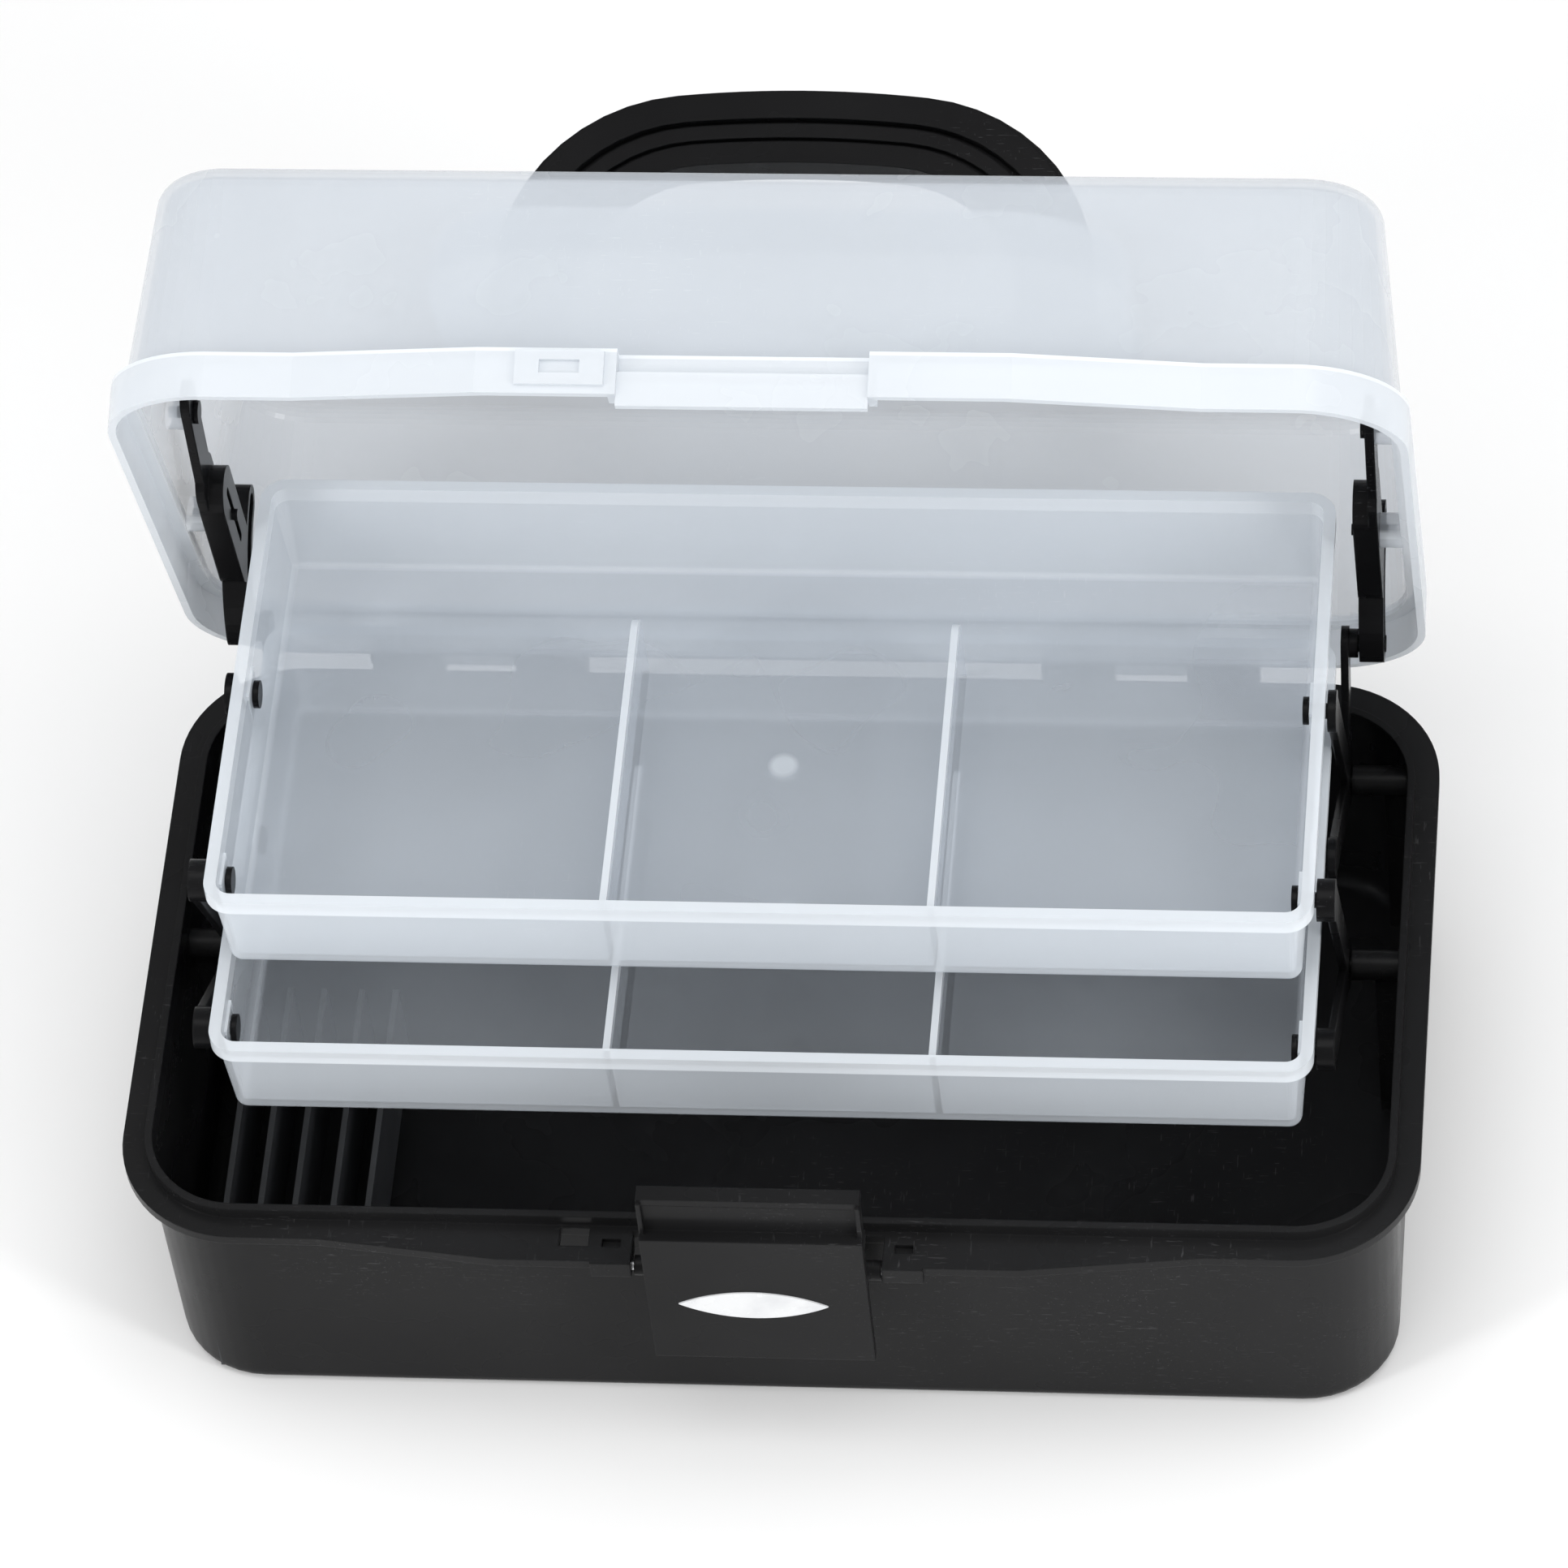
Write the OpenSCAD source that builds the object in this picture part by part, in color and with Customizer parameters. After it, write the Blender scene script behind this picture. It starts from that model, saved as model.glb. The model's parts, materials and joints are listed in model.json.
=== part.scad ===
// Cantilever tackle box: a deep black tub, a clear lid on two rear hinges, and two clear trays
// that rise and step forward on linked side plates as the lid opens.
// The model is drawn open, with the lid stopped at lid_open degrees and both trays raised.
// X runs to the right, Y to the rear and Z up. The origin is the middle of the tub's underside.

/* [Tub] */
// Length over the ledge, left to right
box_l = 330; // [320:1:345]
// Depth over the ledge, front to rear
box_w = 184; // [180:1:190]
// Height of the ledge that the lid closes onto
ledge_z = 74; // [72:1:78]
// Plan radius of the ledge's corners
corner_r = 31; // [26:1:36]
// Wall thickness of the tub
tub_wall = 2.4; // [2:0.1:3]
// How far the underside is set in from the ledge on each side
tub_inset = 7; // [6:0.5:9]
// Height of the loose floor dividers
divider_h = 27; // [15:1:28]

/* [Lid] */
// Lid height, rim to top
lid_h = 67; // [60:0.1:68]
// Wall thickness of the lid
lid_wall = 2; // [1.6:0.1:2.4]
// Opening angle at which the lid stops
lid_open = 72; // [60:1:80]
// Length of the handle recess in the lid's top
recess_l = 173; // [166:1:180]
// Depth of the handle recess
recess_d = 14; // [13:1:16]

/* [Handle] */
// Height of the grip's top above its pivot
handle_h = 63; // [58:1:64]
// Width of the handle across its pivots
handle_l = 156; // [140:1:156]
// Thickness of the handle, front to rear
handle_t = 13; // [11:1:13]

/* [Trays] */
// Tray length over the rim
tray_l = 278; // [270:1:278]
// Tray depth over the rim
tray_w = 138; // [134:1:138]
// Tray height
tray_h = 30; // [26:1:30]
// Wall thickness of the trays
tray_wall = 1.6; // [1.4:0.1:2]
// Places of the two moulded dividers along the tray
divider_x = [-38, 44];

/* [Latch] */
// Latch width
latch_w = 56; // [50:1:56]
// Height of the latch's lower edge
latch_low_z = 38; // [34:1:42]

/* [Linkage] */
// Turn of the side links for each degree of the lid
link_ratio = 0.6;
// Radius of the pivot pins
pin_r = 2; // [1.8:0.1:2.2]
// Running clearance of a pin in its hole
pin_gap = 0.05; // [0.03:0.01:0.08]

/* [Hidden] */
$fn = 64;
eps = 0.01;
// Facets round a corner that is blended by a hull
hull_fn = 40;

// Tub
floor_t = 2.5;
ledge_t = 3;
// The tub's outer wall stands this far inside the ledge's edge
wall_inset = 5.5;
lip_inset = 6;
lip_h = 3.5;
lip_t = 2;
// The rear of the lip stands further in, to let the lid's rim swing past
lip_rear_inset = 9;
tub_edge_r = 4;
// Height of the blocks that hold the latch's pin
boss_h = 5.5;
// Padlock slot in the ledge: its left end, length and width
slot_x = -50.3;
slot_l = 7.5;
slot_w = 5.4;
// The ledge and the lid's rim swell forward round the latch
swell = 5;
swell_in = 66;
swell_out = 112;

// Lid hinge
hinge_y = 95;
hinge_z = 79;
knuckle_r = 4;
hinge_pin_r = 1.5;
knuckle_edges = [60, 79, 98, 117];
knuckle_gap = 0.5;

// Lid, in closed pose
rim_z = 75;
rim_inset = 3.5;
band_h = 12;
band_step = 2.2;
lid_inset = 5.5;
lid_edge_r = 7;
lid_top_z = rim_z + lid_h;
recess_front_y = -61;
recess_rear_y = 16;
recess_r = 30;
handle_y = 3;
handle_z = lid_top_z - 7;
lug_t = 5;

// Trays at rest: height of the rim and middle of the depth
upper_rim_z = 144;
upper_y = 29.5;
lower_rim_z = 112;
lower_y = 7.2;
// The stud holes, from the tray's middle and below its rim
stud_front = -55.8;
stud_pitch = 60;
stud_drop = 8;
tray_draft = 2.2;
tray_r = 7;
tray_edge_r = 3;
tray_rim_h = 4.5;
tray_rim_w = 1.4;
// The dividers stop this far behind the tray's middle
divider_rear = 28;
// Depth of the studs' inner heads from the tray's rim, and their thickness
stud_head_in = 4.4;
stud_head_t = 1.5;
stud_head_r = 3.6;
// The studs end inside the links' eyes
stud_end_x = 141.2;

// Link plates and lid arms, as layers going outward along X
// The rear links swing past the front links' pivots, so they run in an inner layer
eye_x = 139.4;
rear_link_x = 139.6;
front_link_x = 142;
link_t = 2;
arm_x = 144.4;
arm_t = 6.4;
arm_thin_t = 2.4;
link_gap = 0.4;
boss_r = 4;
rear_pivot = [68, 64];
front_pivot = rear_pivot - [stud_pitch, 0];
cam_pin = rear_pivot + [14, 39.5];
cam_pin_r = 2.2;
cam_gap = 0.5;
cam_rim = 2.2;
// The link pivots' pins end here, inside the tub's bosses
pin_end_x = 154.4;

// Latch
latch_axis = [-94, 68.5];
latch_pin_r = 1.25;
latch_t = 3;
latch_front_y = -100.5;
latch_step_z = 88.3;
latch_top_z = 102;
latch_boss_x = [31.7, 42];
// The latch's upper wall is set back, with a flange along its top and a cheek at each end
set_back = 3.5;
flange_front = 2.8;
flange_rear = 7.1;
flange_t = 2.6;
cheek_t = 1.2;
// Half width of the set-back in the lid's band and of the tongue between its posts
tongue_half = 31;
// The catch on the lid: set-back of its face, its tongue below the rim, its shelf and its depth
tongue_set = 1.2;
tongue_h = 2.6;
shelf_z = rim_z + 6.4;
catch_d = 5.1;
// The latch's hook: drawn clear of the lid's path, and it drops over the shelf when the latch tips in
hook_z = shelf_z + 0.75;
hook_t = 2.4;
hook_tip_y = -92.9;
// Place of the badge on the latch's face
badge_at = [-1.2, 61.5];

// A rectangle with true round corners
module rounded_rect(l, w, r) {
  square([l - 2 * r, w], center = true);
  square([l, w - 2 * r], center = true);
  for (sx = [-1, 1], sy = [-1, 1]) translate([sx * (l / 2 - r), sy * (w / 2 - r)]) circle(r);
}

// Half section of a drafted corner that is narrow and rounded at the bottom
function corner_section(r, h, inset, edge) = concat(
  [[0, 0]],
  [for (a = [0:15:90]) [r - inset - edge + edge * sin(a), edge * (1 - cos(a))]],
  [[r, h], [0, h]]);

// A drafted box with round corners: l by w by r at the top, set in by inset at the bottom
module drafted_box(l, w, r, h, inset, edge) {
  hull() for (sx = [-1, 1], sy = [-1, 1])
    translate([sx * (l / 2 - r), sy * (w / 2 - r), 0])
      rotate_extrude($fn = hull_fn) polygon(corner_section(r, h, inset, edge));
}

// Outline of the swell round the latch, as far forward as front_y at its middle
module swell_outline(front_y, rise, half_in, half_out) {
  polygon([[-half_out, front_y + rise + 1], [-half_out, front_y + rise], [-half_in, front_y],
    [half_in, front_y], [half_out, front_y + rise], [half_out, front_y + rise + 1]]);
}

// Points along an arc about c, from angle a0 to a1 in n steps
function arc_points(c, r, a0, a1, n) = [for (i = [0:n])
  let (a = a0 + (a1 - a0) * i / n) c + r * [cos(a), sin(a)]];

// Both sides of a shape that is drawn at positive X
module both_sides() {
  children();
  mirror([1, 0, 0]) children();
}

// A disc or bar along X, from x0 to x1, at [y, z]
module rod_x(x0, x1, yz, r) {
  translate([x0, yz[0], yz[1]]) rotate([0, 90, 0]) cylinder(h = x1 - x0, r = r);
}

// A flat shape drawn in [y, z], made into a plate from x0 to x1
module plate_x(x0, x1) {
  translate([x0, 0, 0]) rotate([90, 0, 90]) linear_extrude(x1 - x0) children();
}

// ---- Tub ----

module ledge_outline(grow = 0) {
  rounded_rect(box_l + 2 * grow, box_w + 2 * grow, corner_r + grow);
  swell_outline(-box_w / 2 - swell - grow, swell, swell_in, swell_out);
}

module lip_outline(inset) {
  shift = (lip_rear_inset - lip_inset) / 2;
  translate([0, -shift]) rounded_rect(box_l - 2 * inset, box_w - 2 * inset - 2 * shift, corner_r - inset);
}

module tub_shape(inset, h, edge) {
  drafted_box(box_l - 2 * (wall_inset + inset), box_w - 2 * (wall_inset + inset),
    corner_r - wall_inset - inset, h, tub_inset - wall_inset, edge);
}

// Rear hinge knuckles on the tub, the outer two of each three
module tub_knuckle(x0, x1) {
  rod_x(x0, x1, [hinge_y, hinge_z], knuckle_r);
  plate_x(x0, x1) polygon([[box_w / 2 - 4, ledge_z - ledge_t], [box_w / 2, ledge_z - ledge_t - 4],
    [hinge_y + knuckle_r, hinge_z - 1], [hinge_y + knuckle_r, hinge_z],
    [hinge_y, hinge_z], [box_w / 2, ledge_z + 1], [box_w / 2 - 1, ledge_z]]);
}

// Boss in the tub's side wall for a link's pivot pin
module pivot_boss(pivot, link_x) {
  outer_x = box_l / 2 - tub_inset - 0.7;
  rod_x(link_x + link_t + link_gap, outer_x, pivot, boss_r);
  plate_x(outer_x - 7, outer_x) translate([pivot[0] - 1, floor_t]) square([2, pivot[1] - floor_t]);
}

module base_tub() {
  color("#262627") {
    difference() {
      union() {
        tub_shape(0, ledge_z, tub_edge_r);
        translate([0, 0, ledge_z - ledge_t]) linear_extrude(ledge_t) ledge_outline();
        translate([0, 0, ledge_z - eps]) linear_extrude(lip_h + eps) lip_outline(lip_inset);
        both_sides() {
          tub_knuckle(knuckle_edges[0], knuckle_edges[1]);
          tub_knuckle(knuckle_edges[2], knuckle_edges[3]);
          // Block that holds one end of the latch pin
          translate([latch_boss_x[0], -box_w / 2 - swell - 0.8, ledge_z - boss_h])
            cube([latch_boss_x[1] - latch_boss_x[0], 9.3, boss_h]);
        }
      }
      translate([0, 0, floor_t]) tub_shape(tub_wall, ledge_z, tub_edge_r - 1);
      translate([0, 0, ledge_z - ledge_t - 1]) linear_extrude(20) lip_outline(lip_inset + lip_t);
      both_sides() {
        rod_x(knuckle_edges[0] - 1, knuckle_edges[3] + 1, [hinge_y, hinge_z], hinge_pin_r);
        rod_x(latch_boss_x[0] - 1, latch_boss_x[1] - 1.5, latch_axis, latch_pin_r);
      }
      // Notch in the ledge for the latch
      translate([-latch_boss_x[0], -box_w / 2 - swell - 3, ledge_z - ledge_t - 1])
        cube([2 * latch_boss_x[0], swell + 7.5, ledge_t + 1 + eps]);
      // Padlock slot in the ledge
      translate([slot_x, -box_w / 2 - 0.4, ledge_z - ledge_t - 1]) cube([slot_l, slot_w, ledge_t + 2]);
      // Sockets in the top of the pin blocks, behind the pin's end
      both_sides() translate([34.6, -box_w / 2 - 0.5, ledge_z - 1.4]) cube([4.7, 2.5, 3]);
    }
    both_sides() difference() {
      union() {
        pivot_boss(front_pivot, front_link_x);
        pivot_boss(rear_pivot, rear_link_x);
      }
      rod_x(rear_link_x, pin_end_x, front_pivot, pin_r);
      rod_x(rear_link_x, pin_end_x, rear_pivot, pin_r);
    }
  }
}

module floor_dividers() {
  color("#3c3d3f") for (x = [-146, -137, -128, -118, -109])
    translate([x, -82, floor_t]) cube([1.6, 102, divider_h]);
}

module link_pivot_pins() {
  color("#8d9093") both_sides() {
    rod_x(front_link_x + 0.05, pin_end_x, front_pivot, pin_r);
    rod_x(rear_link_x + 0.05, pin_end_x, rear_pivot, pin_r);
  }
}

module hinge_pin() {
  color("#b9bcc0") rod_x(knuckle_edges[0] + 0.5, knuckle_edges[3] - 0.5, [hinge_y, hinge_z], hinge_pin_r);
}

module hinge_pin_right() { hinge_pin(); }

module hinge_pin_left() { mirror([1, 0, 0]) hinge_pin(); }

module latch_pin() {
  color("#b9bcc0") rod_x(-latch_boss_x[1] + 1.5, latch_boss_x[1] - 1.5, latch_axis, latch_pin_r);
}

// ---- Lid, drawn closed and then turned open about the hinge ----

module opened() {
  translate([0, hinge_y, hinge_z]) rotate([-lid_open, 0, 0]) translate([0, -hinge_y, -hinge_z]) children();
}

module rim_outline(inset) {
  edge = rim_inset + inset;
  rounded_rect(box_l - 2 * edge, box_w - 2 * edge, corner_r - edge);
  swell_outline(-box_w / 2 + rim_inset + inset - swell, swell, swell_in - inset, swell_out);
}

// The lid's body above its rim band, wide end down
module lid_body(inset, top_z, edge) {
  l = box_l - 2 * (rim_inset + band_step + inset);
  w = box_w - 2 * (rim_inset + band_step + inset);
  translate([0, 0, top_z]) mirror([0, 0, 1])
    drafted_box(l, w, corner_r - rim_inset - band_step - inset, top_z - rim_z, lid_inset, edge);
}

// The recess is round at its front corners, like the handle that folds into it
module recess_outline(grow) {
  half = recess_l / 2 + grow;
  r = recess_r + grow;
  corner = [half - r, recess_front_y + recess_r];
  right = concat([[half, recess_rear_y + grow]], arc_points(corner, r, 0, -90, 16));
  left = [for (i = [len(right) - 1:-1:0]) [-right[i][0], right[i][1]]];
  polygon(concat(right, left));
}

module lid_closed() {
  recess_z = lid_top_z - recess_d;
  front_y = -box_w / 2 + rim_inset - swell;
  difference() {
    union() {
      difference() {
        union() {
          translate([0, 0, rim_z]) linear_extrude(band_h) rim_outline(0);
          lid_body(0, lid_top_z, lid_edge_r);
        }
        translate([0, 0, rim_z - eps]) linear_extrude(band_h - lid_wall) rim_outline(lid_wall);
        translate([0, 0, -eps]) lid_body(lid_wall, lid_top_z - lid_wall + eps, lid_edge_r - lid_wall);
      }
      // Backing for the catch
      translate([-tongue_half - lid_wall, front_y + 1, rim_z])
        cube([2 * (tongue_half + lid_wall), catch_d, band_h - 1]);
      // Tray of the handle recess
      intersection() {
        translate([0, 0, recess_z - lid_wall]) linear_extrude(recess_d + lid_wall) recess_outline(lid_wall);
        lid_body(0, lid_top_z, lid_edge_r);
      }
      // Tongue below the rim that the latch pulls down on
      translate([-tongue_half, front_y + tongue_set, rim_z - tongue_h])
        cube([2 * tongue_half, lid_wall, tongue_h + 2]);
      // Padlock eye beside the latch
      difference() {
        translate([-56, front_y - 1.2, rim_z + 2]) cube([22, 6, 9]);
        translate([-50, front_y - 2, rim_z + 5]) cube([10, 8, 3.5]);
      }
      both_sides() {
        // Knuckle between the tub's two
        rod_x(knuckle_edges[1] + knuckle_gap, knuckle_edges[2] - knuckle_gap, [hinge_y, hinge_z], knuckle_r);
        plate_x(knuckle_edges[1] + knuckle_gap, knuckle_edges[2] - knuckle_gap)
          polygon([[hinge_y, hinge_z], [hinge_y, hinge_z + knuckle_r],
            [box_w / 2 - rim_inset - 1, rim_z + band_h], [box_w / 2 - rim_inset - 1, rim_z + 2]]);
        // Feet for the side arm's rivets
        arm_feet();
      }
    }
    // The band is set back between two posts, and the latch's hook drops over the shelf there
    translate([-tongue_half, front_y - 1, rim_z - tongue_h - 1]) cube([2 * tongue_half, 1 + tongue_set, 20]);
    translate([-tongue_half, front_y - 1, shelf_z]) cube([2 * tongue_half, catch_d, band_h]);
    translate([-tongue_half, front_y + tongue_set + lid_wall, rim_z - 1])
      cube([2 * tongue_half, 4, shelf_z - lid_wall - rim_z + 1]);
    translate([0, 0, recess_z]) linear_extrude(recess_d + 1) recess_outline(0);
    both_sides() rod_x(knuckle_edges[1], knuckle_edges[2], [hinge_y, hinge_z], hinge_pin_r + pin_gap);
    both_sides() arm_rivet_holes();
  }
  // Lugs in the recess that carry the handle's pins
  both_sides() difference() {
    plate_x(handle_l / 2 + 1.5, handle_l / 2 + 1.5 + lug_t) {
      bar([handle_y, handle_z], [handle_y, recess_z + 4.5], 5.5);
    }
    rod_x(handle_l / 2, handle_l / 2 + 10, [handle_y, handle_z], pin_r);
  }
}

module lid_shell() {
  color("#d3dae2") opened() lid_closed();
}

// ---- Lid arms ----

// Places on the closed arm as [y, z], given by distance forward of the hinge and height above it
function arm_point(t, n) = [hinge_y - t, hinge_z + n];
arm_tip = arm_point(118, 22);
arm_bend = arm_point(86, 13);
rivet_at = [arm_point(113, 20.6), arm_point(68, 10.6)];

// Turns a [y, z] vector by a degrees, the way the lid opens
function turned(v, a) = [v[0] * cos(a) + v[1] * sin(a), -v[0] * sin(a) + v[1] * cos(a)];
hinge = [hinge_y, hinge_z];
// Place of the cam pin on the closed lid when the lid is swing degrees away from its stop
function cam_place(swing) = hinge + turned(
  rear_pivot + turned(cam_pin - rear_pivot, -link_ratio * swing) - hinge, swing - lid_open);
cam_a = cam_place(lid_open);
cam_b = cam_place(lid_open / 2);
cam_c = cam_place(0);
// Centre of the circle through the cam pin's three places
function circle_centre(a, b, c) =
  let (d = 2 * (a[0] * (b[1] - c[1]) + b[0] * (c[1] - a[1]) + c[0] * (a[1] - b[1])),
    qa = a * a, qb = b * b, qc = c * c)
  [(qa * (b[1] - c[1]) + qb * (c[1] - a[1]) + qc * (a[1] - b[1])) / d,
    (qa * (c[0] - b[0]) + qb * (a[0] - c[0]) + qc * (b[0] - a[0])) / d];
cam_centre = circle_centre(cam_a, cam_b, cam_c);
cam_r = norm(cam_a - cam_centre);

// The curved slot's area, w wide on each side of the pin's path
module cam_slot(w) {
  from_a = atan2(cam_a[1] - cam_centre[1], cam_a[0] - cam_centre[0]);
  turn = atan2(cam_c[1] - cam_centre[1], cam_c[0] - cam_centre[0]) - from_a;
  sweep = turn > 180 ? turn - 360 : turn < -180 ? turn + 360 : turn;
  to_c = from_a + sweep;
  half = sweep > 0 ? 180 : -180;
  polygon(concat(
    arc_points(cam_centre, cam_r + w, from_a, to_c, 16),
    arc_points(cam_c, w, to_c, to_c + half, 12),
    arc_points(cam_centre, cam_r - w, to_c, from_a, 16),
    arc_points(cam_a, w, from_a + half, from_a + 2 * half, 12)));
}

// Bar with round ends from a to b
module bar(a, b, r) {
  d = b - a;
  lean = atan2(d[1], d[0]);
  polygon(concat(arc_points(b, r, lean - 90, lean + 90, 16), arc_points(a, r, lean + 90, lean + 270, 16)));
}

module arm_rivet_holes() {
  for (p = rivet_at) rod_x(arm_x - 1, box_l / 2 - 10, p, 1.5);
}

// Feet on the lid's side wall that the arm is riveted to
module arm_feet() {
  intersection() {
    union() for (p = rivet_at) rod_x(arm_x + arm_t, box_l / 2, p, 4.5);
    lid_body(lid_wall / 2, lid_top_z, lid_edge_r);
  }
}

module lid_arm() {
  color("#1d1d1e") opened() difference() {
    union() {
      plate_x(arm_x + arm_t - arm_thin_t, arm_x + arm_t) {
        bar(arm_tip, arm_bend, 5);
        bar(arm_bend, arm_point(46, 8), 7);
      }
      plate_x(arm_x, arm_x + arm_t) {
        bar(arm_point(80, 12), arm_point(46, 8), 7);
        cam_slot(cam_pin_r + cam_gap + cam_rim);
      }
    }
    plate_x(arm_x - 1, arm_x + arm_t + 1) cam_slot(cam_pin_r + cam_gap);
    // Groove along the arm's inner face
    plate_x(arm_x - 1, arm_x + 1) bar(arm_point(80, 12), arm_point(56, 9.2), 1.2);
    for (p = rivet_at) rod_x(arm_x - 1, arm_x + arm_t + 1, p, 1.5);
  }
}

module lid_arm_right() { lid_arm(); }

module lid_arm_left() { mirror([1, 0, 0]) lid_arm(); }

module lid_arm_rivets() {
  color("#1d1d1e") both_sides() opened() {
    rod_x(arm_x + arm_t - arm_thin_t - 1, arm_x + arm_t + 2, rivet_at[0], 1.5);
    rod_x(arm_x + arm_t - arm_thin_t - 1.2, arm_x + arm_t - arm_thin_t, rivet_at[0], 3);
    rod_x(arm_x - 1, arm_x + arm_t + 2, rivet_at[1], 1.5);
  }
}

// ---- Handle, drawn upright on the closed lid ----

// Arch outline: straight legs that lean in to round shoulders under a slightly bowed top
module handle_outline(inset) {
  top = handle_h - inset;
  half = handle_l / 2 - inset;
  shoulder_r = 50 - 0.8 * inset;
  crown_r = 300;
  // Where the shoulder's arc runs into the crown's
  lean = asin((half - 1 - shoulder_r) / (crown_r - shoulder_r));
  shoulder = [half - 1 - shoulder_r, top - crown_r + (crown_r - shoulder_r) * cos(lean)];
  right = concat([[half, 0]], arc_points(shoulder, shoulder_r, 8, 90 - lean, 10),
    arc_points([0, top - crown_r], crown_r, 90 - lean, 90, 6));
  left = [for (i = [len(right) - 2:-1:0]) [-right[i][0], right[i][1]]];
  polygon(concat(right, left));
}

module handle_layer(outer, inner, t) {
  translate([0, handle_y + t / 2, handle_z]) rotate([90, 0, 0]) linear_extrude(t) difference() {
    handle_outline(outer);
    translate([0, -1]) handle_outline(inner);
  }
}

module handle() {
  color("#1c1c1d") opened() difference() {
    union() {
      handle_layer(0, 19, handle_t - 6);
      handle_layer(1.5, 8, handle_t);
      handle_layer(10, 13, handle_t - 2);
      handle_layer(15, 20, handle_t - 2);
      both_sides() rod_x(handle_l / 2 - 10, handle_l / 2, [handle_y, handle_z], 7);
    }
    both_sides() rod_x(handle_l / 2 - 11, handle_l / 2 + 1, [handle_y, handle_z], pin_r + pin_gap);
  }
}

module handle_pins() {
  color("#b9bcc0") both_sides() opened()
    rod_x(handle_l / 2 - 10, handle_l / 2 + 1.5 + lug_t, [handle_y, handle_z], pin_r);
}

// ---- Latch ----

module latch() {
  half = latch_w / 2;
  wall_y = latch_front_y + set_back;
  flange_z = latch_top_z - flange_t;
  back_y = latch_front_y + latch_t;
  color("#242425") difference() {
    union() {
      // Face plate with a top flange, and the hook behind it
      plate_x(-half, half) polygon([
        [latch_front_y, latch_low_z], [latch_front_y, latch_step_z],
        [wall_y, latch_step_z], [wall_y, flange_z], [latch_front_y + flange_front, flange_z],
        [latch_front_y + flange_front, latch_top_z], [latch_front_y + flange_rear, latch_top_z],
        [latch_front_y + flange_rear, flange_z], [wall_y + 2, flange_z], [wall_y + 2, hook_z + hook_t],
        [hook_tip_y, hook_z + hook_t], [hook_tip_y, hook_z], [back_y, hook_z], [back_y, latch_low_z]]);
      for (x = [-half, half - cheek_t]) plate_x(x, x + cheek_t)
        translate([wall_y - 1.6, latch_step_z - 1]) square([2.6, latch_top_z - latch_step_z]);
      rod_x(-tongue_half - 0.2, tongue_half + 0.2, latch_axis, 2.6);
      plate_x(-half, half) translate([latch_front_y + 1, latch_axis[1] - 2.2])
        square([latch_axis[0] - latch_front_y - 1, 4.4]);
    }
    rod_x(-tongue_half - 1, tongue_half + 1, latch_axis, latch_pin_r + pin_gap);
    // Seat for the badge
    translate([badge_at[0], latch_front_y + 0.6, badge_at[1]]) rotate([90, 0, 0]) linear_extrude(1)
      badge_outline(19.3);
  }
}

// Pointed oval: the overlap of two large circles
module badge_outline(half) {
  rise = 5.4 * half / 19;
  r = (half * half + rise * rise) / (2 * rise);
  intersection() {
    translate([0, r - rise]) circle(r, $fn = 180);
    translate([0, rise - r]) circle(r, $fn = 180);
  }
}

module latch_badge() {
  color("#e9ebec") translate([badge_at[0], latch_front_y + 0.6, badge_at[1]]) rotate([90, 0, 0])
    linear_extrude(0.9) badge_outline(19);
}

// ---- Trays ----

// Plate across the tray whose rear end is rounded off
module tray_divider() {
  r = 6;
  top = tray_h - 1;
  polygon(concat([[-tray_w / 2, 0.5], [divider_rear + 2, 0.5]],
    arc_points([divider_rear - r, top - r], r, 10, 90, 8), [[-tray_w / 2, top]]));
}

module tray(mid_y, rim_z) {
  wall_l = tray_l - 2 * tray_rim_w;
  wall_w = tray_w - 2 * tray_rim_w;
  wall_r = tray_r - tray_rim_w;
  translate([0, mid_y, rim_z - tray_h]) difference() {
    union() {
      difference() {
        union() {
          drafted_box(wall_l, wall_w, wall_r, tray_h, tray_draft, tray_edge_r);
          translate([0, 0, tray_h - tray_rim_h]) linear_extrude(tray_rim_h)
            rounded_rect(tray_l, tray_w, tray_r);
        }
        translate([0, 0, tray_wall]) drafted_box(wall_l - 2 * tray_wall, wall_w - 2 * tray_wall,
          wall_r - tray_wall, tray_h, tray_draft, tray_edge_r - tray_wall);
      }
      intersection() {
        union() {
          for (x = divider_x) plate_x(x - 0.9, x + 0.9) tray_divider();
          // Square pads round the stud holes
          for (s = [-1, 1], y = [stud_front, stud_front + stud_pitch])
            translate([s * (tray_l / 2 - 2.6) - 1.5, y - 5, tray_h - stud_drop - 5]) cube([3, 10, 10]);
        }
        drafted_box(wall_l, wall_w, wall_r, tray_h, tray_draft, tray_edge_r);
      }
    }
    both_sides() {
      rod_x(tray_l / 2 - 8, tray_l / 2 + 1, [stud_front, tray_h - stud_drop], pin_r + 0.35);
      rod_x(tray_l / 2 - 8, tray_l / 2 + 1, [stud_front + stud_pitch, tray_h - stud_drop], pin_r + pin_gap);
    }
  }
}

module upper_tray() { color("#c4cbd3") tray(upper_y, upper_rim_z); }

module lower_tray() { color("#b9c1ca") tray(lower_y, lower_rim_z); }

// ---- Links ----

function stud_at(mid_y, rim_z, k) = [mid_y + stud_front + k * stud_pitch, rim_z - stud_drop];

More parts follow.
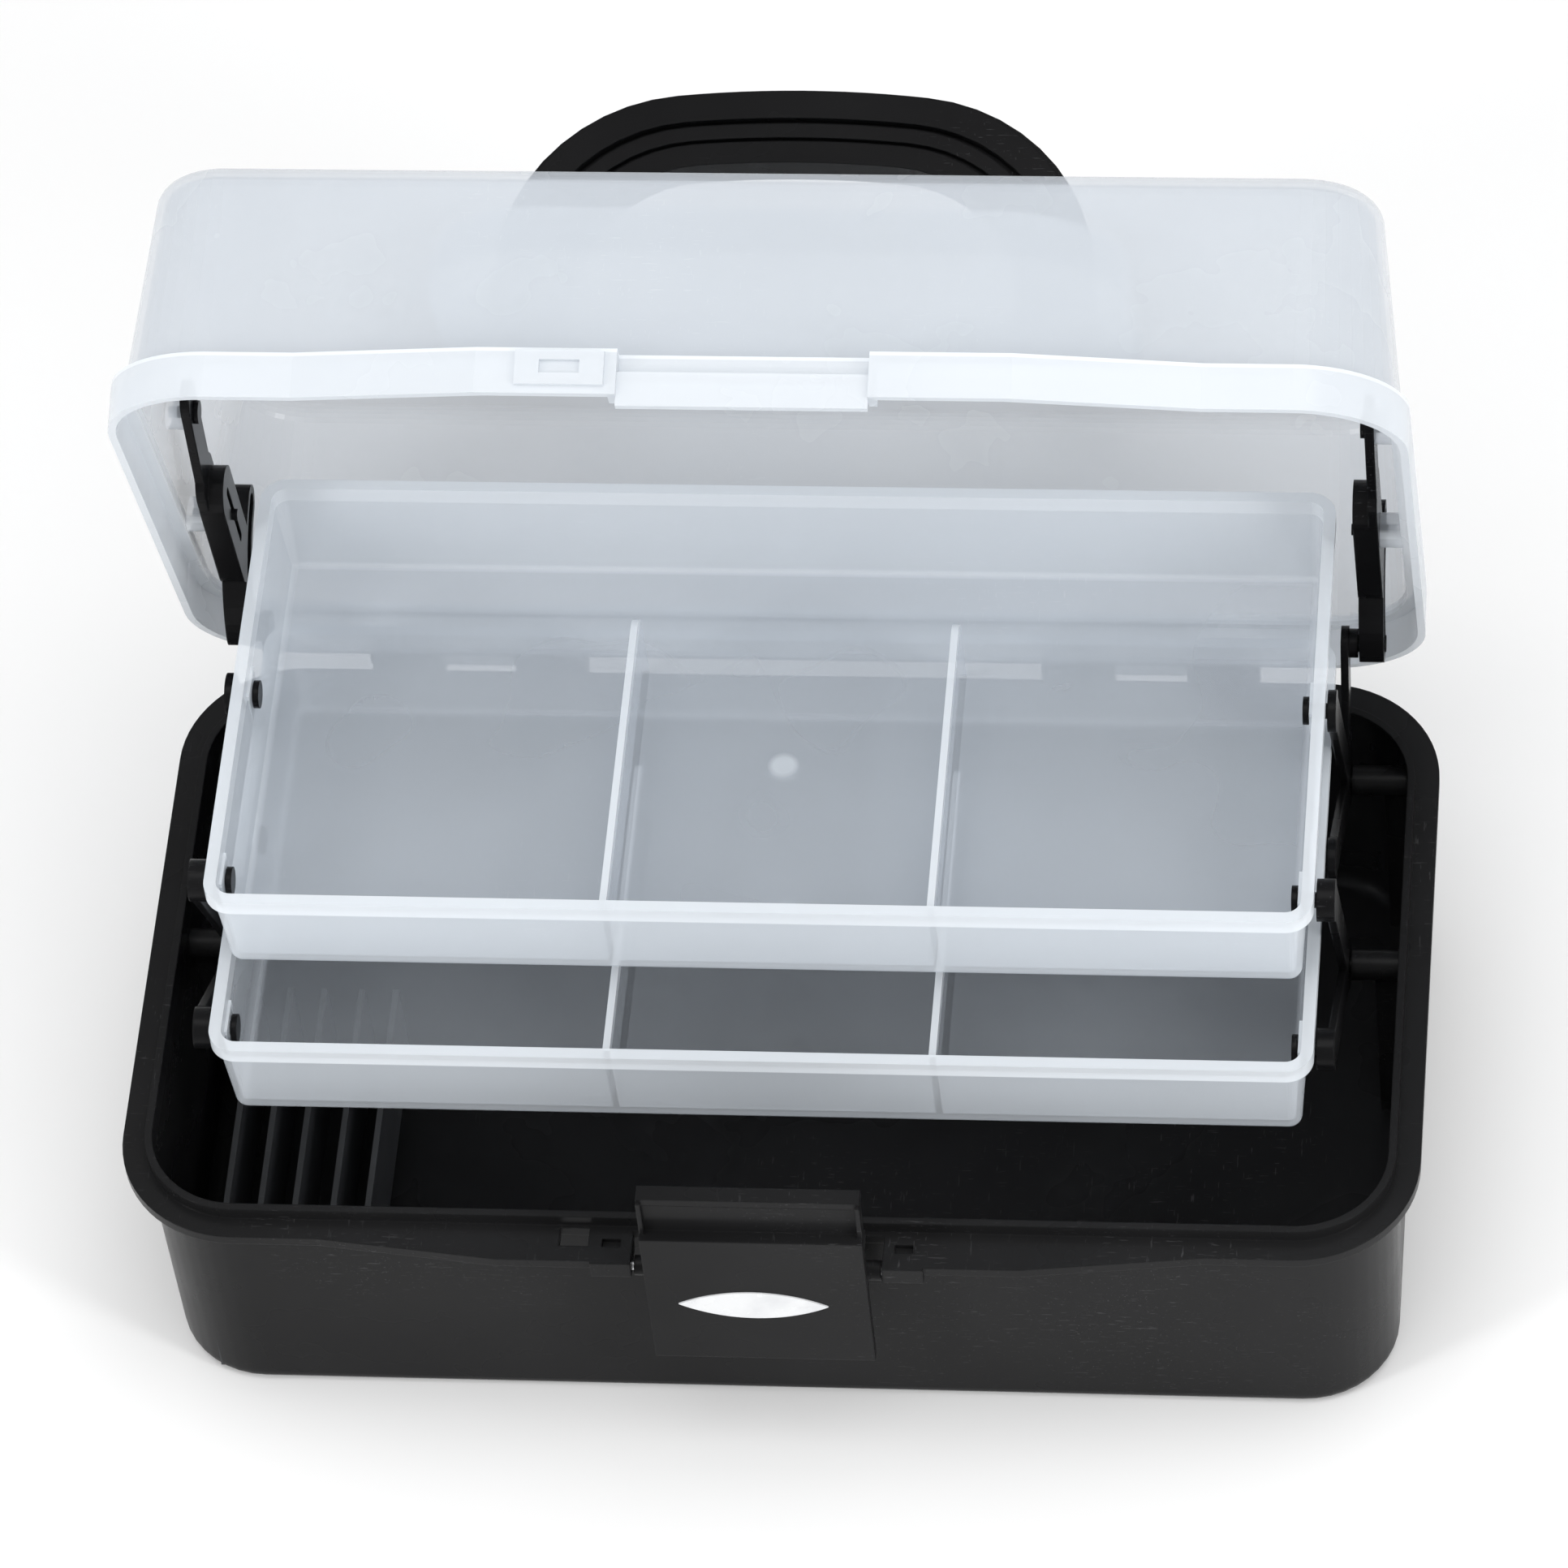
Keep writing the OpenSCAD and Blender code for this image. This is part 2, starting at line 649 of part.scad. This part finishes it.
// One link plate at link_x: two arms from its pivot, each ending in an eye beside a tray
module link_plate(pivot, link_x, eyes) {
  difference() {
    union() {
      plate_x(link_x, link_x + link_t) {
        for (e = eyes) bar(pivot, e, 4.5);
        translate(pivot) circle(6.5);
      }
      for (e = eyes) rod_x(eye_x, link_x + link_t, e, 5.4);
    }
    rod_x(link_x - 2, link_x + link_t + 1, pivot, pin_r + pin_gap);
    for (e = eyes) rod_x(eye_x - 1, stud_end_x, e, pin_r);
  }
}

module front_link() {
  color("#1b1b1c") link_plate(front_pivot, front_link_x,
    [stud_at(upper_y, upper_rim_z, 0), stud_at(lower_y, lower_rim_z, 0)]);
}

// The rear link also carries the cam pin that runs in the lid arm's slot
module rear_link() {
  color("#1b1b1c") {
    link_plate(rear_pivot, rear_link_x, [stud_at(upper_y, upper_rim_z, 1), stud_at(lower_y, lower_rim_z, 1)]);
    difference() {
      plate_x(rear_link_x, rear_link_x + link_t) bar(rear_pivot, cam_pin, 4.5);
      rod_x(eye_x - 1, rear_link_x + link_t + 1, rear_pivot, pin_r + pin_gap);
    }
    rod_x(rear_link_x, arm_x + arm_t + 0.4, cam_pin, cam_pin_r);
    rod_x(rear_link_x, arm_x - link_gap, cam_pin, cam_pin_r + 1.6);
  }
}

module front_link_right() { front_link(); }

module front_link_left() { mirror([1, 0, 0]) front_link(); }

module rear_link_right() { rear_link(); }

module rear_link_left() { mirror([1, 0, 0]) rear_link(); }

// Studs that snap from the links through the tray walls, with a head inside the tray
module studs(k) {
  head_x = tray_l / 2 - stud_head_in;
  color("#161617") both_sides()
    for (p = [stud_at(upper_y, upper_rim_z, k), stud_at(lower_y, lower_rim_z, k)]) {
      rod_x(head_x - eps, stud_end_x, p, pin_r);
      rod_x(head_x - stud_head_t, head_x, p, stud_head_r);
    }
}

module front_studs() { studs(0); }

module rear_studs() { studs(1); }

base_tub();
floor_dividers();
link_pivot_pins();
hinge_pin_left();
hinge_pin_right();
latch_pin();
lid_shell();
lid_arm_left();
lid_arm_right();
lid_arm_rivets();
handle_pins();
handle();
latch();
latch_badge();
front_link_left();
front_link_right();
rear_link_left();
rear_link_right();
front_studs();
rear_studs();
upper_tray();
lower_tray();
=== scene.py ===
"""Studio picture of an open cantilever tackle box with a black tub and frosted clear lid and trays."""

import json
import math

import bpy
from mathutils import Matrix, Vector


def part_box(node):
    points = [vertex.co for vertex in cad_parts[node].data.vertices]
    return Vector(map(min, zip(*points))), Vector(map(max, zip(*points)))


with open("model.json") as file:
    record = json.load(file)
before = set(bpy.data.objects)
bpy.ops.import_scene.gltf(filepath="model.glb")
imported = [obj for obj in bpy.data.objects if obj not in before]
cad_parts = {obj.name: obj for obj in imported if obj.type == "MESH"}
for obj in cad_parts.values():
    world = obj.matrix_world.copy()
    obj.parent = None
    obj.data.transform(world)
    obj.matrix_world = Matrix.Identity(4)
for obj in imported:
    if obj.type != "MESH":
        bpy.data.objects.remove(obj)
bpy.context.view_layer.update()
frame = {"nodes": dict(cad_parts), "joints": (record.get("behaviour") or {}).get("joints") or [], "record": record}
nodes = frame["nodes"]
joint = {j["name"]: j for j in frame["joints"]}


# ---- Small helpers for node materials ----


class Shader:
    """A new material with a Principled surface, and short ways to add and join nodes."""

    def __init__(self, name):
        self.mat = bpy.data.materials.new(name)
        self.mat.use_nodes = True
        self.tree = self.mat.node_tree
        self.out = self.tree.nodes["Material Output"]
        self.main = self.tree.nodes["Principled BSDF"]
        self.where = self.add("ShaderNodeTexCoord").outputs["Object"]

    def add(self, kind, **settings):
        made = self.tree.nodes.new(kind)
        for key, value in settings.items():
            setattr(made, key, value)
        return made

    def put(self, socket, value):
        """Sets an input to a value, or joins it to another node's output."""
        if isinstance(value, bpy.types.NodeSocket):
            self.tree.links.new(value, socket)
        else:
            socket.default_value = value

    def maths(self, operation, a, b=0.0, clamp=False):
        made = self.add("ShaderNodeMath", operation=operation, use_clamp=clamp)
        self.put(made.inputs[0], a)
        self.put(made.inputs[1], b)
        return made.outputs[0]

    def noise(self, scale, detail=3.0, stretch=None):
        made = self.add("ShaderNodeTexNoise")
        made.inputs["Scale"].default_value = scale
        made.inputs["Detail"].default_value = detail
        place = self.where
        if stretch:
            squeeze = self.add("ShaderNodeMapping")
            self.put(squeeze.inputs["Vector"], place)
            squeeze.inputs["Scale"].default_value = stretch
            place = squeeze.outputs["Vector"]
        self.put(made.inputs["Vector"], place)
        return made.outputs["Fac"]

    def remap(self, value, low, high, to_low, to_high):
        made = self.add("ShaderNodeMapRange")
        self.put(made.inputs["Value"], value)
        limits = {"From Min": low, "From Max": high, "To Min": to_low, "To Max": to_high}
        for key, number in limits.items():
            self.put(made.inputs[key], number)
        return made.outputs["Result"]

    def mix(self, share, first, second):
        made = self.add("ShaderNodeMix", data_type="RGBA")
        self.put(made.inputs["Factor"], share)
        self.put(made.inputs["A"], first)
        self.put(made.inputs["B"], second)
        return made.outputs["Result"]

    def bump(self, height, strength, distance, base=None):
        made = self.add("ShaderNodeBump")
        made.inputs["Strength"].default_value = strength
        made.inputs["Distance"].default_value = distance
        self.put(made.inputs["Height"], height)
        if base is not None:
            self.put(made.inputs["Normal"], base)
        return made.outputs["Normal"]

    def rounded(self, radius):
        """Softened edges; radius may be a number or a node's output."""
        made = self.add("ShaderNodeBevel", samples=3)
        self.put(made.inputs["Radius"], radius)
        return made.outputs["Normal"]

    def scuffs(self, amount):
        """Fine stretched scratches, as a share from 0 to 1."""
        along = self.noise(220.0, 2.0, (1.0, 9.0, 9.0))
        across = self.noise(190.0, 2.0, (8.0, 1.0, 7.0))
        along = self.remap(along, 0.66, 0.72, 0.0, 1.0)
        across = self.remap(across, 0.67, 0.73, 0.0, 1.0)
        lines = self.maths("MAXIMUM", along, across)
        patches = self.remap(self.noise(14.0, 2.0), 0.5, 0.66, 0.0, amount)
        return self.maths("MULTIPLY", lines, patches, clamp=True)


def rgb(r, g, b):
    return (r, g, b, 1.0)


def lighter(colour, share, lift=0.0):
    """The same colour scaled up, and never past white."""
    return rgb(*(min(1.0, c * share + lift) for c in colour))


def black_plastic(name, colour, roughness, grain, edge):
    """Moulded black polypropylene: fine grain, softened edges, faint scuffs and handling marks.

    edge is the radius of its edges, or a function that gives a radius from the shader.
    """
    s = Shader(name)
    cloud = s.noise(9.0, 4.0)
    base = s.mix(s.remap(cloud, 0.35, 0.65, 0.0, 1.0), rgb(*colour), lighter(colour, 1.5, 0.002))
    scuffed = s.scuffs(0.35)
    s.put(s.main.inputs["Base Color"], s.mix(scuffed, base, rgb(0.1, 0.1, 0.104)))
    rough = s.remap(s.noise(26.0, 3.0), 0.3, 0.7, roughness - 0.05, roughness + 0.06)
    s.put(s.main.inputs["Roughness"], s.maths("ADD", rough, s.maths("MULTIPLY", scuffed, 0.15)))
    s.main.inputs["IOR"].default_value = 1.45
    s.main.inputs["Specular IOR Level"].default_value = 0.1
    soft = s.rounded(edge(s) if callable(edge) else edge)
    fine = s.bump(s.noise(1500.0, 2.0), grain, 0.0001, soft)
    s.put(s.main.inputs["Normal"], s.bump(s.noise(38.0, 2.0), 0.12, 0.0004, fine))
    return s.mat


def steel(name):
    """Drawn steel wire: fine marks along the pin and slightly uneven shine."""
    s = Shader(name)
    marks = s.noise(900.0, 2.0, (0.05, 1.0, 1.0))
    s.put(s.main.inputs["Base Color"], s.mix(s.noise(60.0), rgb(0.5, 0.51, 0.53), rgb(0.68, 0.69, 0.7)))
    s.main.inputs["Metallic"].default_value = 1.0
    s.put(s.main.inputs["Roughness"], s.remap(marks, 0.3, 0.7, 0.24, 0.42))
    s.put(s.main.inputs["Normal"], s.bump(marks, 0.2, 0.0001))
    return s.mat


def enamel(name):
    """Glossy white badge, with slightly darker worn patches."""
    s = Shader(name)
    worn = s.remap(s.noise(90.0, 4.0), 0.45, 0.75, 0.0, 1.0)
    s.put(s.main.inputs["Base Color"], s.mix(worn, rgb(0.74, 0.75, 0.76), rgb(0.6, 0.61, 0.63)))
    s.put(s.main.inputs["Roughness"], s.remap(s.noise(150.0), 0.3, 0.7, 0.18, 0.34))
    s.put(s.main.inputs["Normal"], s.bump(s.noise(320.0), 0.1, 0.0002, s.rounded(0.0003)))
    return s.mat


def frosted(name, colour, thick_glow_colour, clear, solid, roughness, thickness_and_glow):
    """Translucent moulded polypropylene, with opacity from clear to solid.

    The last argument, given the shader, gives a share from 0 to 1 of where it is denser, as thicker plastic is,
    and whiter as painted glow of light piped through the thicker rims and walls.
    """
    s = Shader(name)
    share = thickness_and_glow(s)
    cloud = s.remap(s.noise(7.0, 3.0), 0.35, 0.65, 0.0, 1.0)
    thin = s.mix(cloud, rgb(*colour), lighter(colour, 1.05))
    # Whiter colour where the share is high: painted glow of light piped through the thicker plastic
    base = s.mix(share, thin, rgb(*thick_glow_colour))
    scuffed = s.scuffs(0.1)
    s.put(s.main.inputs["Base Color"], s.mix(scuffed, base, rgb(0.92, 0.94, 0.96)))
    dense = s.maths("ADD", s.remap(share, 0.0, 1.0, clear, solid), s.maths("MULTIPLY", scuffed, 0.12))
    uneven = s.remap(s.noise(11.0, 2.0), 0.3, 0.7, -0.03, 0.03)
    dense = s.maths("ADD", dense, uneven, clamp=True)
    s.put(s.main.inputs["Alpha"], dense)
    s.put(s.main.inputs["Roughness"], s.remap(s.noise(30.0), 0.3, 0.7, roughness - 0.05, roughness + 0.07))
    s.main.inputs["IOR"].default_value = 1.49
    s.put(s.main.inputs["Normal"], s.bump(s.noise(24.0, 3.0), 0.12, 0.0005))
    return s.mat


def box_share(s, place, axis, low, high, soft=0.0004):
    """1 between two heights along an axis of a point, 0 outside, with a short soft change."""
    split = s.add("ShaderNodeSeparateXYZ")
    s.put(split.inputs[0], place)
    value = split.outputs[axis]
    up = s.remap(value, low - soft, low + soft, 0.0, 1.0)
    down = s.remap(value, high - soft, high + soft, 1.0, 0.0)
    return s.maths("MULTIPLY", up, down)


def tray_thickness_and_glow(node):
    """Whitest at the rim, fainter on the walls, and a small round gate mark on the floor; the white rim and walls
    are partly denser plastic and partly painted glow of light piped through them.
    """
    low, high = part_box(node)
    middle = (low + high) / 2
    rim_h = 0.0046
    wall_reach = 0.006
    gate_r = 0.003

    def share(s):
        rim = box_share(s, s.where, "Z", high.z - rim_h, high.z + 0.01)
        inside_x = box_share(s, s.where, "X", low.x + wall_reach, high.x - wall_reach, 0.001)
        inside_y = box_share(s, s.where, "Y", low.y + wall_reach, high.y - wall_reach, 0.001)
        inside = s.maths("MULTIPLY", inside_x, inside_y)
        walls = s.maths("MULTIPLY", s.maths("SUBTRACT", 1.0, inside), 0.42)
        away = s.add("ShaderNodeVectorMath", operation="DISTANCE")
        s.put(away.inputs[0], s.where)
        away.inputs[1].default_value = (middle.x, middle.y, low.z)
        gate = s.remap(away.outputs["Value"], gate_r, 1.5 * gate_r, 0.5, 0.0)
        # Rim and walls: denser plastic plus painted glow of light piped through them; the gate mark is a real
        # moulding mark
        return s.maths("MAXIMUM", s.maths("MULTIPLY", rim, 0.8), s.maths("MAXIMUM", walls, gate))

    return share


def lid_thickness_and_glow(s):
    """Denser and whiter rim band, step and handle recess, measured on the lid as if it were closed; the whiter
    colour is partly painted glow of light piped through these thicker parts.
    """
    hinge = joint["lid_hinge"]
    shut = s.add("ShaderNodeVectorRotate", rotation_type="X_AXIS")
    s.put(shut.inputs["Vector"], s.where)
    shut.inputs["Center"].default_value = hinge["pos_m"]
    shut.inputs["Angle"].default_value = math.radians(-hinge["range_deg"][0])
    place = shut.outputs["Vector"]
    # The shut lid's rim lies a little below its hinge
    rim_z = hinge["pos_m"][2] - 0.004
    band = box_share(s, place, "Z", rim_z - 0.01, rim_z + 0.0122)
    step = box_share(s, place, "Z", rim_z + 0.0108, rim_z + 0.0126)
    recess = box_share(s, place, "Z", rim_z + 0.0505, rim_z + 0.063, 0.0005)
    recess = s.maths("MULTIPLY", recess, box_share(s, place, "X", -0.09, 0.09))
    recess = s.maths("MULTIPLY", recess, box_share(s, place, "Y", -0.066, 0.03))
    # Band, step and recess: denser plastic plus painted glow of light piped through them
    edge = s.maths("MAXIMUM", s.maths("MULTIPLY", band, 0.55), s.maths("MULTIPLY", recess, 0.8))
    return s.maths("MAXIMUM", edge, s.maths("MULTIPLY", step, 0.9))


def tub_edges(s):
    """Wide softening on the tall corner walls below the ledge, fine softening elsewhere."""
    fine_r, wide_r = 0.0006, 0.004
    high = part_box("base_tub")[1]
    split = s.add("ShaderNodeSeparateXYZ")
    s.put(split.inputs[0], s.where)
    away = s.maths("ABSOLUTE", split.outputs["X"])
    end = s.remap(away, high.x - 0.04, high.x - 0.034, 0.0, 1.0)
    wall = s.maths("MULTIPLY", end, box_share(s, s.where, "Z", 0.004, 0.066, 0.002))
    return s.remap(wall, 0.0, 1.0, fine_r, wide_r)


# ---- Finishes by CAD node ----


satin_tub = black_plastic("tub_black", (0.008, 0.008, 0.0084), 0.28, 0.10, tub_edges)
satin_part = black_plastic("black_plastic", (0.004, 0.004, 0.0044), 0.24, 0.08, 0.0006)
divider = black_plastic("divider_grey", (0.05, 0.052, 0.055), 0.42, 0.10, 0.0003)
pin_metal = steel("pin_steel")
badge = enamel("badge_white")
lid_plastic = frosted("clear_lid", (0.63, 0.67, 0.72), (0.84, 0.88, 0.92), 0.45, 0.85, 0.24, lid_thickness_and_glow)
# The lower tray is made clearer than the upper one so more of the dark tub shows through: painted shade from the
# upper tray above it, with the more solid upper tray as the painted lit copy
tray_clear_for_shade = {"upper_tray": 0.34, "lower_tray": 0.14}
tray_finish = {}
for node, clear in tray_clear_for_shade.items():
    # The second colour is whiter: painted glow of light piped through rims and walls
    colour, rim_glow_colour = (0.68, 0.73, 0.79), (0.86, 0.90, 0.94)
    thickness_and_glow = tray_thickness_and_glow(node)
    tray_finish[node] = frosted("clear_" + node, colour, rim_glow_colour, clear, 0.72, 0.2, thickness_and_glow)

slot_of = {p["node"]: p["material_slot"] for p in frame["record"]["subparts"]}
finishes = {
    "tub_black": satin_tub,
    "black_plastic": satin_part,
    "divider_grey": divider,
    "pin_steel": pin_metal,
    "badge_white": badge,
    "clear_lid": lid_plastic,
}
for node, piece in nodes.items():
    piece.data.materials.clear()
    if node in tray_finish:
        piece.data.materials.append(tray_finish[node])
    else:
        piece.data.materials.append(finishes[slot_of[node]])


# ---- Floor, light and camera ----


def pale_floor():
    """A wide sheet of pale paper that curves up far behind the box."""
    front_y, bend_y, bend_r = -2.5, 2.2, 1.2
    half_w, wall_h = 4.0, 4.0
    rows = [(front_y, 0.0), (bend_y, 0.0)]
    for degrees in range(10, 91, 10):
        turn = math.radians(degrees)
        rows.append((bend_y + bend_r * math.sin(turn), bend_r - bend_r * math.cos(turn)))
    rows.append((bend_y + bend_r, wall_h))
    points = [(x, y, z) for y, z in rows for x in (-half_w, half_w)]
    faces = [(2 * i, 2 * i + 1, 2 * i + 3, 2 * i + 2) for i in range(len(rows) - 1)]
    sheet = bpy.data.meshes.new("pale_floor")
    sheet.from_pydata(points, [], faces)
    piece = bpy.data.objects.new("pale_floor", sheet)
    bpy.context.scene.collection.objects.link(piece)
    s = Shader("pale_paper")
    paper, bright_paper = rgb(0.92, 0.92, 0.92), rgb(0.95, 0.95, 0.95)
    s.put(s.main.inputs["Base Color"], s.mix(s.noise(3.0, 3.0), paper, bright_paper))
    s.put(s.main.inputs["Roughness"], s.remap(s.noise(12.0), 0.3, 0.7, 0.75, 0.9))
    s.put(s.main.inputs["Normal"], s.bump(s.noise(60.0), 0.03, 0.0005))
    sheet.materials.append(s.mat)


def softbox(name, place, width, height, power):
    """A rectangular lamp aimed at the middle of the box."""
    middle = Vector((0.0, 0.0, 0.1))
    light = bpy.data.lights.new(name, "AREA")
    light.shape = "RECTANGLE"
    light.size, light.size_y = width, height
    light.energy = power
    lamp = bpy.data.objects.new(name, light)
    lamp.location = place
    lamp.rotation_mode = "QUATERNION"
    lamp.rotation_quaternion = (middle - Vector(place)).to_track_quat("-Z", "Y")
    bpy.context.scene.collection.objects.link(lamp)


def pale_world(strength):
    world = bpy.data.worlds.new("pale_room")
    world.use_nodes = True
    sky = world.node_tree.nodes["Background"]
    sky.inputs["Color"].default_value = (1.0, 1.0, 1.0, 1.0)
    sky.inputs["Strength"].default_value = strength
    bpy.context.scene.world = world


def long_lens_camera():
    """Seen from above and a little to the right, with a small roll."""
    azimuth, elevation, roll = math.radians(10.1), math.radians(51.6), math.radians(-7.0)
    distance = 2.408
    aim = Vector((0.0048, 0.0, 0.1456))
    flat = math.cos(elevation)
    forward = Vector((-math.sin(azimuth) * flat, math.cos(azimuth) * flat, -math.sin(elevation)))
    level = Vector((math.cos(azimuth), math.sin(azimuth), 0.0))
    above = level.cross(forward)
    right = math.cos(roll) * level + math.sin(roll) * above
    up = math.cos(roll) * above - math.sin(roll) * level
    data = bpy.data.cameras.new("camera")
    data.lens, data.sensor_width, data.sensor_fit = 220.5, 36.0, "HORIZONTAL"
    data.clip_end = 30.0
    camera = bpy.data.objects.new("camera", data)
    turn = Matrix((right, up, -forward)).transposed().to_4x4()
    camera.matrix_world = Matrix.Translation(aim - forward * distance) @ turn
    bpy.context.scene.collection.objects.link(camera)
    bpy.context.scene.camera = camera


pale_floor()
pale_world(0.73)
softbox("overhead_softbox", (0.1, -0.2, 1.7), 1.4, 1.0, 9.0)
softbox("left_softbox", (-1.2, -0.9, 0.7), 0.25, 1.2, 9.0)
softbox("right_softbox", (1.2, -0.8, 0.7), 0.25, 1.2, 9.0)
long_lens_camera()
bpy.context.scene.view_settings.view_transform = "Standard"
